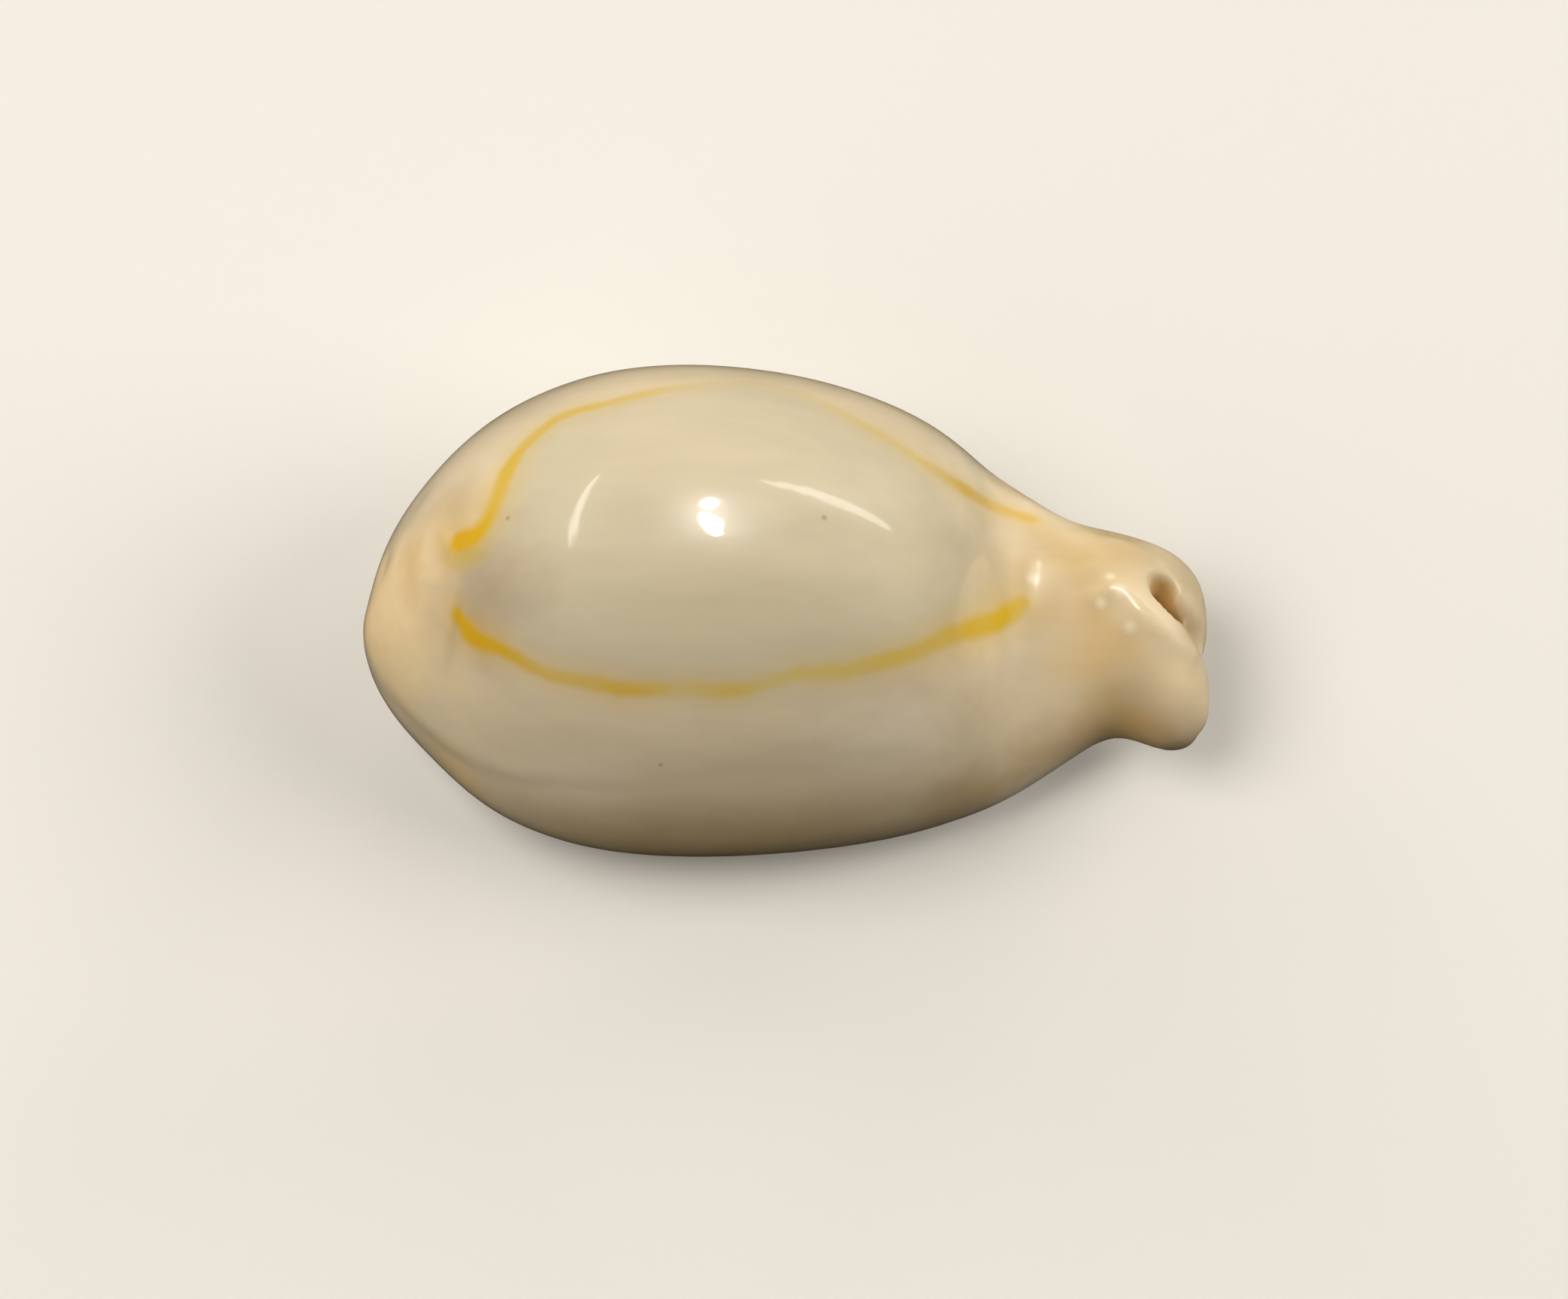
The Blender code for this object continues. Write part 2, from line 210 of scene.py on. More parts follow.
LOWER_LIMB = [
    (-10.45, -2.46, 0.60, 1.0, 0.8), (-10.18, -2.95, 0.86, 1.15, 0.9), (-9.10, -3.72, 0.72, 1.0, 0.75),
    (-7.82, -4.50, 0.62, 0.75, 0.65), (-6.51, -4.91, 0.70, 0.7, 0.6), (-4.86, -5.22, 0.69, 0.82, 0.6),
    (-3.22, -5.23, 0.70, 0.5, 0.3), (-1.78, -5.28, 0.67, 0.72, 0.35), (-0.71, -5.10, 0.62, 0.52, 0.15),
    (0.22, -4.79, 0.65, 0.52, 0.15), (1.49, -4.58, 0.70, 0.66, 0.25), (2.79, -4.18, 0.71, 0.75, 0.35),
    (4.07, -3.60, 0.78, 0.72, 0.45), (5.18, -2.84, 0.88, 0.95, 0.5), (6.56, -1.68, 0.92, 1.1, 0.5),
    (7.70, -0.62, 0.74, 1.0, 0.5),
]
RING_SAMPLES = 90

# The ring across its width, in half widths from its middle line: where its core and its paler halo have faded
# out, and where they are full. Then its raggedness, its patches, and the heights over which it fades out
RING_CORE = (1.7, 0.1)
RING_HALO = (3.4, 0.6)
RING_HALO_STRENGTH = 0.3
RING_RAGGEDNESS = 0.9
RING_RAGGED_SCALE = 1.6
RING_PATCH_SCALE = 0.8
RING_PATCH_NOISE = (0.25, 0.7)
RING_PATCH_STRENGTHS = (0.8, 1.1)
RING_FADES_Z = (3.5, 4.5)

# The greyer back inside the ring: the width of its edge, and its soft front end
BACK_EDGE_WIDTH = 1.0
BACK_FRONT_X = 8.0
BACK_FADE = 3.0

# Colours of the enamel, as linear values
CREAM = (0.76, 0.64, 0.45)
BACK_CREAM = (0.64, 0.56, 0.40)
CALLUS_CREAM = (0.86, 0.67, 0.40)
BASE_WHITE = (0.86, 0.79, 0.66)
RING_ORANGE = (0.72, 0.40, 0.006)
RING_OLIVE = (0.68, 0.52, 0.03)
# The front canal's brown, partly its own colour and partly painted shade
CANAL_BROWN_AND_SHADE = (0.62, 0.42, 0.18)
# Painted shade inside the hollow, a dark brown
HOLLOW_PAINTED_SHADE = (0.17, 0.10, 0.08)
SPOT_BROWN = (0.22, 0.17, 0.10)
# The pale colour of the painted highlights
PAINTED_HIGHLIGHT_WHITE = (0.98, 0.88, 0.70)
GROOVE_TAN = (0.62, 0.44, 0.26)
GROOVE_TAN_STRENGTH = 0.5

# Changes of tone, drawn out along the shell: their amount, the scales of the slow and the fine ones, and the
# share of the slow ones
CLOUD_AMOUNT = 0.3
SLOW_CLOUDS = (0.16, 0.55, 0.55)
FINE_CLOUDS = (0.5, 2.4, 2.4)
SLOW_CLOUD_SHARE = 0.75

# The white of the base: the heights where it has faded out and where it is full
WHITE_FADES_Z = (2.6, 0.6)

# The front canal's brown, partly its own colour and partly painted shade: where it starts, the length and the
# depth over which it grows, and how far it fades out past the canal's mouth. The hollow's painted shade, a
# dark
# brown: the depths where it starts and where it is full
CANAL_TINT_X = 9.0
CANAL_TINT_GROWS = 2.0
CANAL_TINT_DEPTHS = (0.05, 0.55)
CANAL_TINT_FADE = 1.1
HOLLOW_DEPTHS = (1.8, 3.2)

# Soft patches of colour: stains in the enamel, and the painted light and shade marked below. Colour,
# strength, middle and reach
STAINS_AND_PAINTED_SHADING = [
    ((0.42, 0.32, 0.21), 0.72, (-9.7, -1.7, 10.2), (3.6, 2.8, 4.0)),
    ((0.54, 0.42, 0.12), 0.8, (-10.2, -0.6, 10.3), (1.3, 0.9, 1.5)),
    ((0.44, 0.36, 0.25), 0.4, (-9.4, -4.0, 9.5), (2.0, 1.2, 1.6)),
    ((0.90, 0.68, 0.36), 0.4, (-10.9, -4.4, 8.0), (1.2, 1.8, 2.0)),
    ((0.64, 0.43, 0.18), 0.6, (-12.1, -0.3, 8.5), (0.8, 1.8, 1.9)),
    ((0.60, 0.43, 0.20), 0.65, (-10.4, 1.1, 9.5), (2.2, 1.9, 2.4)),
    ((0.96, 0.76, 0.42), 0.6, (-12.8, -2.9, 6.2), (2.2, 3.0, 4.0)),
    ((0.96, 0.86, 0.66), 0.75, (-11.8, 4.4, 5.8), (3.2, 2.2, 3.2)),
    ((0.90, 0.62, 0.28), 0.6, (-11.0, -5.7, 3.6), (2.8, 2.2, 2.4)),
    ((0.58, 0.50, 0.36), 0.45, (0.5, 3.8, 10.5), (7.5, 2.1, 2.8)),
    ((0.82, 0.72, 0.50), 0.6, (5.8, 2.2, 8.2), (1.6, 1.8, 2.0)),
    # Painted light: a paler patch on the upper flank before the neck, where the light falls on it
    ((0.96, 0.84, 0.62), 0.85, (5.9, 4.0, 6.7), (1.8, 2.2, 3.0)),
    # Painted shade: darker by the neck's upper edge, where the light falls off
    ((0.44, 0.34, 0.19), 0.75, (7.8, 4.4, 4.2), (1.6, 1.5, 2.2)),
    ((0.63, 0.45, 0.20), 0.85, (9.4, 0.9, 5.8), (3.8, 3.2, 3.4)),
    ((0.56, 0.41, 0.20), 0.6, (11.2, 1.4, 5.8), (1.8, 1.7, 2.0)),
    # Painted shade: the next two darken the beak's upper edge
    ((0.54, 0.44, 0.28), 0.85, (13.2, 0.9, 5.0), (2.6, 2.2, 2.8)),
    ((0.42, 0.32, 0.17), 0.75, (11.1, 2.6, 4.0), (2.8, 1.4, 2.4)),
    ((0.84, 0.57, 0.22), 0.6, (10.4, -2.0, 5.4), (3.0, 2.6, 2.8)),
    # Warm brown under the lower lobe: partly its own colour, partly painted shade
    ((0.70, 0.44, 0.14), 0.75, (11.2, -4.0, 3.3), (3.2, 2.0, 2.8)),
    ((0.94, 0.74, 0.46), 0.7, (12.8, -3.0, 4.7), (1.7, 1.7, 1.9)),
    # Painted shade: darker on the lower lobe's lower side
    ((0.50, 0.36, 0.19), 0.6, (13.0, -4.6, 2.7), (1.4, 1.0, 1.4)),
    # Painted shade: the next three darken the lower flank of the outer lip, from the rear to the waist
    ((0.54, 0.38, 0.19), 0.7, (8.6, -5.0, 3.5), (2.0, 1.8, 2.2)),
    ((0.50, 0.35, 0.16), 0.65, (6.2, -6.3, 3.0), (4.6, 2.0, 2.8)),
    ((0.68, 0.48, 0.22), 0.7, (-2.5, -7.8, 3.2), (13.0, 2.2, 4.4)),
    # Painted light: the next two are paler bands along the flank, where the light catches the shoulder
    ((0.94, 0.84, 0.68), 0.55, (3.0, -5.6, 7.2), (4.6, 1.7, 2.6)),
    ((0.94, 0.82, 0.64), 0.4, (-6.6, -6.7, 6.2), (3.6, 1.5, 2.4)),
    ((0.58, 0.46, 0.29), 0.6, (6.9, -0.1, 7.0), (1.6, 1.7, 1.8)),
    # Painted shade: darker on the upper lobe's inner face, down in the valley
    ((0.42, 0.30, 0.16), 0.9, (13.35, -1.05, 5.1), (1.2, 1.2, 1.4)),
]
# The uneven edges of the stains, the painted light and shade, the spots and the painted highlights: scale and
# amount
PATCH_UNEVEN_SCALE = 0.9
PATCH_UNEVENNESS = 0.5

# Small spots: dark specks in the enamel, and pale painted highlights on the neck and beak crest: radius and
# place
DARK_SPOTS = [
    (0.16, (1.2, 0.04, 11.7)),
    (0.14, (-4.0, -6.75, 7.6)),
    (0.12, (-8.85, 0.25, 11.2)),
]
# Painted highlights: pale spots where the lamps' reflections sit on the neck and the beak's crest
PAINTED_HIGHLIGHTS = [
    (0.34, (8.1, 0.34, 6.07)),
    (0.30, (10.62, 0.3, 6.24)),
    (0.42, (10.9, -0.24, 6.33)),
    (0.30, (10.3, -0.6, 6.25)),
    (0.34, (11.23, -1.42, 6.17)),
]
# How strong the dark spots and the painted highlights are
SPOT_AND_HIGHLIGHT_STRENGTH = 0.6

# The gloss of the body and of the beak, and where the one fades into the other
GLOSS = 0.8
GLOSS_OF_BEAK = 0.06
GLOSS_FADES_X = (6.4, 7.6)

# The fine unevenness of the enamel: how rough it is, and how high its bumps are
ROUGHNESS = (0.29, 0.38)
ROUGHNESS_NOISE = (0.3, 0.7)
ROUGHNESS_SCALE = 0.45
BUMP_SCALE = 2.2
BUMP_STRENGTH = 0.12
BUMP_HEIGHT = 0.02

# The camera: where it looks, from which height and distance, and its lens
CAMERA_AIM = (-0.07, -1.83, 5.2)
CAMERA_ELEVATION = 68.0
CAMERA_DISTANCE = 150.0
CAMERA_LENS = 105.0
CAMERA_SENSOR = 36.0
CAMERA_NEAREST = 5.0

# The soft lamps round the shell: azimuth from the beak's direction, elevation, and power
SOFT_LAMPS = [
    (180, 60, 0.74), (0, 35, 0.72), (45, 10, 0.66), (135, 10, 0.5), (90, 10, 0.36), (180, 10, 0.26),
    (225, 35, 0.21), (0, -90, 0.25),
]
SOFT_LAMP_DISTANCE = 350.0
SOFT_LAMP_SIZE = (260.0, 260.0)
SOFT_LAMP_COLOUR = (1.0, 0.95, 0.86)

# The lamps that only the gloss shows: name, direction, distance, size, power, and direction of the long side
GLOSS_LAMPS = [
    ("lamp_upper", (0.098, 0.472, 0.876), 300, (22, 38), 0.12, None),
    ("lamp_lower", (0.115, 0.262, 0.957), 300, (26, 80), 0.34, (1.0, 0.25, 0.0)),
    ("left_strip", (-0.50, 0.42, 0.76), 200, (160, 8), 0.028, (-37, -142, 52)),
    ("right_strip", (0.58, 0.60, 0.55), 200, (140, 18), 0.036, (83, -45, -46)),
]
GLOSS_LAMP_COLOUR = (1.0, 0.97, 0.92)
LAMP_AIM = (0.0, 0.0, 6.0)

# The surround: the light that it gives, and how it looks behind the shell
SURROUND_LIGHT = (0.01, 0.01, 0.01)
SURROUND_SEEN = (0.75, 0.74, 0.72)

FLOOR_RADIUS = 3000.0
FLOOR_DROP = 0.02
FLOOR_SEGMENTS = 96
FLOOR_PALE = (0.80, 0.79, 0.77)
FLOOR_ROUGHNESS = 0.9


def spline(knots, values, closed=False):
    """The cubic spline through the values at the knots, as a function. A closed one ends where it starts."""
    knots = np.asarray(knots, float)
    values = np.asarray(values, float)
    steps = np.diff(knots)
    slopes = np.diff(values, axis=0) / steps[:, None]
    matrix = np.eye(len(knots))
    bends = np.zeros_like(values)
    for i in range(1, len(knots) - 1):
        matrix[i, i - 1:i + 2] = steps[i - 1], 2 * (steps[i - 1] + steps[i]), steps[i]
        bends[i] = 6 * (slopes[i] - slopes[i - 1])
    if closed:
        matrix[0, 0] = 2 * (steps[-1] + steps[0])
        matrix[0, 1] = steps[0]
        matrix[0, -2] = steps[-1]
        bends[0] = 6 * (slopes[0] - slopes[-1])
        matrix[-1, 0] = -1
    bends = np.linalg.solve(matrix, bends)

    def at(t):
        t = np.asarray(t, float)
        i = np.clip(np.searchsorted(knots, t) - 1, 0, len(steps) - 1)
        step = steps[i][:, None]
        after = (t - knots[i])[:, None]
        before = step - after
        cubic = (bends[i] * before**3 + bends[i + 1] * after**3) / (6 * step)
        start = (values[i] / step - bends[i] * step / 6) * before
        end = (values[i + 1] / step - bends[i + 1] * step / 6) * after
        return cubic + start + end

    return at


def lengths_along(line):
    """How far along the line each of its places is."""
    return np.concatenate([[0.0], np.cumsum(np.linalg.norm(np.diff(line, axis=0), axis=1))])


def both_sides(outline):
    """Splits a smooth closed outline at its two ends: its upper and lower values, as functions of x."""
    loop = np.array(outline + outline[:1])
    along = lengths_along(loop)
    points = spline(along, loop, closed=True)(np.linspace(0, along[-1], OUTLINE_SAMPLES, endpoint=False))
    xs = points[:, 0]
    points[:, 0] = (xs - xs.min()) / (xs.max() - xs.min()) * LENGTH - LENGTH / 2
    points = np.roll(points, -int(points[:, 0].argmax()), axis=0)
    rear = int(points[:, 0].argmin())
    upper = points[:rear + 1][::-1]
    lower = np.concatenate([points[rear:], points[:1]])
    return upper, lower


def read(side, x):
    return np.interp(x, side[:, 0], side[:, 1])


PLAN_INNER, PLAN_OUTER = both_sides(PLAN)
SIDE_TOP, SIDE_BASE = both_sides(SIDE)
STATIONS = np.linspace(-LENGTH / 2, LENGTH / 2, STATION_COUNT)
LEAN_AT = spline([row[0] for row in CREST_LEAN], [row[1:] for row in CREST_LEAN])
LEAN = np.column_stack([STATIONS, LEAN_AT(STATIONS)])
APERTURE_AT = spline([row[0] for row in APERTURE], [row[1:] for row in APERTURE])
NO_WALLS = (0.0, 0.0, 0.0, 0.0)
CAVITY_WALLS = (OUTER_LIP_WALL, INNER_LIP_WALL, ROOF_WALL, FLOOR_WALL)


def section_point(x, across, upward, walls=NO_WALLS):
    """(y, z) on the section at x. across and upward are the cosine and sine of the angle round it."""
    outer_wall, inner_wall, roof_wall, floor_wall = walls
    inner = read(PLAN_INNER, x) - inner_wall
    outer = read(PLAN_OUTER, x) + outer_wall
    top = read(SIDE_TOP, x) - roof_wall
    base = read(SIDE_BASE, x) + floor_wall
    widest = WIDEST_OUTER + (WIDEST_INNER - WIDEST_OUTER) * (1 + across) / 2
    height = top - base
    lean = read(LEAN, x) * np.maximum(0.0, upward) ** 2
    y = (inner + outer) / 2 + (inner - outer) / 2 * across + lean
    z = base + widest * height + height / 2 * upward + (0.5 - widest) * height * upward**2
    return y, z


def section_middle(x, walls):
    """(y, z) halfway between the top and the base of the section at x."""
    high = section_point(x, 0.0, 1.0, walls)
    low = section_point(x, 0.0, -1.0, walls)
    return (high[0] + low[0]) / 2, (high[1] + low[1]) / 2


def object_from(bm, name):
    mesh = bpy.data.meshes.new(name)
    bm.to_mesh(mesh)
    bm.free()
    made = bpy.data.objects.new(name, mesh)
    bpy.context.scene.collection.objects.link(made)
    return made


def form(name, rear, front, walls, segments):
    """A sphere with its poles at the two ends, drawn out to the shell's sections, less the walls."""
    bm = bmesh.new()
    bmesh.ops.create_uvsphere(bm, u_segments=segments, v_segments=segments, radius=1.0)
    for vert in bm.verts:
        ring = max(1e-9, np.hypot(vert.co.x, vert.co.y))
        x = (front + rear) / 2 + (front - rear) / 2 * vert.co.z
        y, z = section_point(x, vert.co.x / ring, vert.co.y / ring, walls)
        if walls != NO_WALLS:
            middle_y, middle_z = section_middle(x, walls)
            drawn_in = ring**0.5
            y = middle_y + (y - middle_y) * drawn_in
            z = middle_z + (z - middle_z) * drawn_in
        vert.co = (x * MM, y * MM, z * MM)
    return object_from(bm, name)


def base_height(x):
    """Height of the base at x, and never below the flat that the shell rests on."""
    return np.maximum(0.0, read(SIDE_BASE, np.clip(x, -LENGTH / 2, LENGTH / 2)))


def smooth_step(value):
    value = np.clip(value, 0.0, 1.0)
    return value * value * (3 - 2 * value)


def aperture_cutter():
    """A block drawn along the aperture: arched on top, and flared below so that the lips are rounded."""
    bm = bmesh.new()
    bmesh.ops.create_cube(bm, size=1.0)
    bmesh.ops.subdivide_edges(bm, edges=bm.edges, cuts=APERTURE_CUTS, use_grid_fill=True)
    first, last = APERTURE[0][0], APERTURE[-1][0]
    for vert in bm.verts:
        x = first + (last - first) * (vert.co.x + 0.5)
        y, width, roof, lean = APERTURE_AT([x])[0]
        opened = smooth_step((x - CANAL_OPENS_X) / CANAL_OPENS_OVER + 0.5)
        opened *= smooth_step((CANAL_CLOSES_X - x) / CANAL_OPENS_OVER + 0.5)
        roof += CANAL_OPENING_HEIGHT * opened
        z = -APERTURE_DEPTH_BELOW + (roof + APERTURE_DEPTH_BELOW) * (vert.co.z + 0.5)
        above_base = z - base_height(x)
        below = np.clip(LIP_ROUNDING - above_base, 0.0, LIP_ROUNDING)
        flare = LIP_ROUNDING - np.sqrt(LIP_ROUNDING**2 - below**2)
        above_spring = np.clip((z - roof) / (width / 2) + 1, 0.0, 1.0)
        arch = np.sqrt(1 - ARCHING * above_spring**2)
        y += lean * max(0.0, above_base) + vert.co.y * (width * arch + 2 * flare)
        vert.co = (x * MM, y * MM, z * MM)
    bmesh.ops.recalc_face_normals(bm, faces=bm.faces)
    return object_from(bm, "aperture_cutter")


def ball_cutter(name, radii, middle, turn=None):
    """A ball drawn out to its radii, turned, and moved to its middle, which is in metres."""
    bm = bmesh.new()
    bmesh.ops.create_uvsphere(bm, u_segments=BALL_SEGMENTS, v_segments=BALL_SEGMENTS // 2, radius=MM)
    bmesh.ops.scale(bm, verts=bm.verts, vec=radii)
    if turn is not None:
        bmesh.ops.rotate(bm, verts=bm.verts, cent=(0, 0, 0), matrix=turn)
    bmesh.ops.translate(bm, verts=bm.verts, vec=middle)
    return object_from(bm, name)


def canal_mouth_cutter():
    return ball_cutter("canal_mouth_cutter", CANAL_MOUTH_RADII, [place * MM for place in CANAL_MOUTH])


def valley_cutter():
    """A long ball that lies along the valley."""
    start, end = Vector(VALLEY_START), Vector(VALLEY_END)
    radii = ((end - start).length / 2, VALLEY_HALF_WIDTH, VALLEY_DEPTH)
    turn = (end - start).to_track_quat("X", "Z").to_matrix()
    return ball_cutter("valley_cutter", radii, (start + end) / 2 * MM, turn)


def cut_and_eased(blank, cutters):
    """The blank, cut, evened out on a grid and eased so that every edge is round, as a mesh."""
    for cutter in cutters:
        cut = blank.modifiers.new(cutter.name, "BOOLEAN")
        cut.operation = "DIFFERENCE"
        cut.solver = "EXACT"
        cut.object = cutter
    even = blank.modifiers.new("even", "REMESH")
    even.mode = "VOXEL"
    even.voxel_size = EVEN_GRID * MM
    ease = blank.modifiers.new("ease", "SMOOTH")
    ease.factor = EASING
    ease.iterations = EASING_PASSES
    graph = bpy.context.evaluated_depsgraph_get()
    mesh = bpy.data.meshes.new_from_object(blank.evaluated_get(graph))
    for used in [blank, *cutters]:
        bpy.data.objects.remove(used, do_unlink=True)
    return mesh


def nearest_on(line, points):
    """Distance from each point to a line of places, and how far along the line its nearest place is."""
    line = np.asarray(line, float)
    distance = np.full(len(points), np.inf)
    along = np.zeros(len(points))
    for i, (start, end) in enumerate(zip(line, line[1:])):
        step = end - start
        share = np.clip((points - start) @ step / (step @ step), 0.0, 1.0)
        gap = np.linalg.norm(points - start - share[:, None] * step, axis=1)
        nearer = gap < distance
        distance[nearer] = gap[nearer]
        along[nearer] = i + share[nearer]
    return distance, along


def tooth_grooves(points):
    """Depth of the grooves between the teeth, at each point."""
    x, y, z = points.T
    slit_y, width, _, lean = APERTURE_AT(x).T
    above_base = np.maximum(0.0, z - base_height(x))
    from_edge = np.abs(y - slit_y - lean * above_base) - width / 2
    near = 1 - smooth_step(from_edge / TOOTH_REACH)
    low = 1 - smooth_step(above_base / TOOTH_HEIGHT)
    ends = smooth_step((x - TEETH_REAR_X) / TEETH_FADE) * smooth_step((TEETH_FRONT_X - x) / TEETH_FADE)
    groove = 0.5 - 0.5 * np.cos(2 * np.pi * x / TOOTH_SPACING)
    return groove**GROOVE_SHARPNESS * near * low * ends


def rear_callus(points):
    """The callus over the rear end at each point, 1 behind its edge, and its share of the rise."""
    x, y, z = points.T
    edge_at = spline([row[0] for row in CALLUS_EDGE], [row[1:] for row in CALLUS_EDGE])
    behind = edge_at(np.clip(y, CALLUS_EDGE[0][0], CALLUS_EDGE[-1][0]))[:, 0] - x
    across = np.exp(-((y - CALLUS_MIDDLE_Y) / CALLUS_HALF_WIDTH) ** 4)
    step = smooth_step(behind / CALLUS_STEP_WIDTH + 0.5) * across * smooth_step(z - CALLUS_LOWEST_Z)
    return step, step * np.exp(-np.maximum(0.0, behind) / CALLUS_LENGTH)


def shoulder(points):
    """Height of the shoulder along the outer lip's flank, at each point."""
    x, y, z = points.T
    within = np.clip(x, SHOULDER[0][0], SHOULDER[-1][0])
    line_z, rise = spline([row[0] for row in SHOULDER], [row[1:] for row in SHOULDER])(within).T
    above = z - line_z
    step = smooth_step(above / SHOULDER_STEP_WIDTH + 0.5) * np.exp(-np.maximum(0.0, above) / SHOULDER_LENGTH)
    return np.maximum(0.0, rise) * step * (y < read(PLAN_OUTER, x) * SHOULDER_FROM_SHARE)


def waves(points):
    """Height of the slow waves, at each point."""
    heights = [noise.noise(Vector(point) / WAVE_LENGTH) for point in points]
    return np.array(heights) * WAVE_HEIGHT


def lifter(tree):
    """A function that lifts a place (x, y) to the top of the form."""
    def lift(x, y):
        return tree.ray_cast(Vector((x, y, 2 * LENGTH)), Vector((0, 0, -1)))[0]

    return lift


def relief(points, callus_height, lift):
    """Height of all that is raised on the skin or sunk into it, but for the teeth, at each point."""
    raised = CALLUS_RISE * callus_height + shoulder(points) + waves(points)
    for height, half_width, line in RIDGES:
        distance, _ = nearest_on([lift(x, y) for x, y in line], points)
        raised += height * np.exp(-((distance / half_width) ** 2))
    for height, radius, place in BUMPS:
        raised += height * np.exp(-((np.linalg.norm(points - place, axis=1) / radius) ** 2))
    return raised


def depth_below(tree, points):
    """How far inside the uncut form each point is. Points on its skin are at 0."""
    depths = np.zeros(len(points))
    for i, point in enumerate(points):
        place, normal, _, distance = tree.find_nearest(Vector(point))
        if (Vector(point) - place).dot(normal) < 0:
            depths[i] = distance
    return depths


def limb_marks(points, lift, limb):
    """One limb of the ring at each point: distance in half widths, strength and warmth."""
    rows = np.array(limb)
    along = lengths_along(rows[:, :2])
    rows = spline(along, rows)(np.linspace(0, along[-1], RING_SAMPLES))
    distance, place = nearest_on([lift(x, y) for x, y in rows[:, :2]], points)
    width, strength, warmth = (np.interp(place, range(RING_SAMPLES), rows[:, i]) for i in (2, 3, 4))
    return np.column_stack([distance / (width / 2), strength, warmth])


def ring_marks(points, lift):
    """The marks of the nearer limb, at each point."""
    upper = limb_marks(points, lift, UPPER_LIMB)
    lower = limb_marks(points, lift, LOWER_LIMB)
    return np.where(lower[:, :1] < upper[:, :1], lower, upper)


def inside_ring(points):
    """1 on the back of the shell inside the ring, 0 outside it, and soft between."""
    outline = np.array(UPPER_LIMB + LOWER_LIMB[::-1])[:, :2]
    loop = np.concatenate([outline, outline[:1]])
    x, y, z = points.T
    inside = np.zeros(len(points), bool)
    for (x0, y0), (x1, y1) in zip(loop, loop[1:]):
        if y0 != y1:
            crosses = (y0 > y) != (y1 > y)
            inside ^= crosses & (x < x0 + (x1 - x0) * (y - y0) / (y1 - y0))
    distance, _ = nearest_on(loop, points[:, :2])
    soft = smooth_step(np.where(inside, distance, -distance) / BACK_EDGE_WIDTH + 0.5)
    return soft * smooth_step((BACK_FRONT_X - x) / BACK_FADE) * (z > CALLUS_LOWEST_Z)


def canal_brown_and_shade(points, depth):
    """How brown the front canal is at each point: partly its own colour, and partly painted shade that grows
    with depth.
    """
    shallow, full = CANAL_TINT_DEPTHS
    x = points[:, 0]
    brown = smooth_step((depth - shallow) / (full - shallow))
    brown *= smooth_step((x - CANAL_TINT_X) / CANAL_TINT_GROWS)
    return brown * (1 - smooth_step((x - CANAL_MOUTH[0]) / CANAL_TINT_FADE))


def vectors_of(elements, name):
    """The vector of each vertex, as rows."""
    values = np.empty(len(elements) * 3)
    elements.foreach_get(name, values)
    return values.reshape(-1, 3)


def keep_value(mesh, name, values):
    mesh.attributes.new(name, "FLOAT", "POINT").data.foreach_set("value", values.astype(np.float32))


def shell_mesh():
    """The shell's fine surface with its relief, and the values that its colours follow."""
    blank = form("blank", -LENGTH / 2, LENGTH / 2, NO_WALLS, BLANK_SEGMENTS)
    form_places = [vert.co / MM for vert in blank.data.vertices]
    tree = BVHTree.FromPolygons(form_places, [face.vertices[:] for face in blank.data.polygons])
    rear, front = -LENGTH / 2 + REAR_WALL, LENGTH / 2 - FRONT_WALL
    cavity = form("cavity_cutter", rear, front, CAVITY_WALLS, CAVITY_SEGMENTS)
    mesh = cut_and_eased(blank, [cavity, aperture_cutter(), canal_mouth_cutter(), valley_cutter()])

    points = vectors_of(mesh.vertices, "co") / MM
    normals = vectors_of(mesh.vertex_normals, "vector")
    lift = lifter(tree)
    grooves = tooth_grooves(points)
    callus, callus_height = rear_callus(points)
    depth = depth_below(tree, points)
    on_skin = 1 - smooth_step(depth / SKIN_DEPTH)
    raised = relief(points, callus_height, lift)
    marks = ring_marks(points, lift)
    back = inside_ring(points)
    canal = canal_brown_and_shade(points, depth)

    points += normals * (raised * on_skin - TOOTH_DEPTH * grooves)[:, None]
    points[:, 2] = np.maximum(0.0, points[:, 2])
    low, high = (np.array(corner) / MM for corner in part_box("cowrie_shell"))
    shift = (low + high) / 2 - (points.min(axis=0) + points.max(axis=0)) / 2
    points[:, :2] += shift[:2]
    mesh.vertices.foreach_set("co", (points * MM).reshape(-1))
    mesh.update()
    mesh.shade_smooth()

    keep_value(mesh, "ring_offset", marks[:, 0])
    keep_value(mesh, "ring_strength", marks[:, 1])
    keep_value(mesh, "ring_warmth", marks[:, 2])
    keep_value(mesh, "back", back * on_skin)
    keep_value(mesh, "callus", callus * on_skin)
    keep_value(mesh, "canal", canal)
    keep_value(mesh, "depth", depth)
    keep_value(mesh, "grooves", grooves)
    return mesh


def node(tree, kind, inputs=None, **settings):
    """A node with its settings, and its inputs given as values or as the sockets that feed them."""
    made = tree.nodes.new(kind)
    for name, value in settings.items():
        setattr(made, name, value)
    for name, value in (inputs or {}).items():
        if isinstance(value, bpy.types.NodeSocket):
            tree.links.new(value, made.inputs[name])
        elif isinstance(value, tuple) and made.inputs[name].type == "RGBA":
            made.inputs[name].default_value = (*value, 1.0)
        else:
            made.inputs[name].default_value = value
    return made


MIX_FACTOR, MIX_A, MIX_B, MIX_RESULT = 0, 6, 7, 2


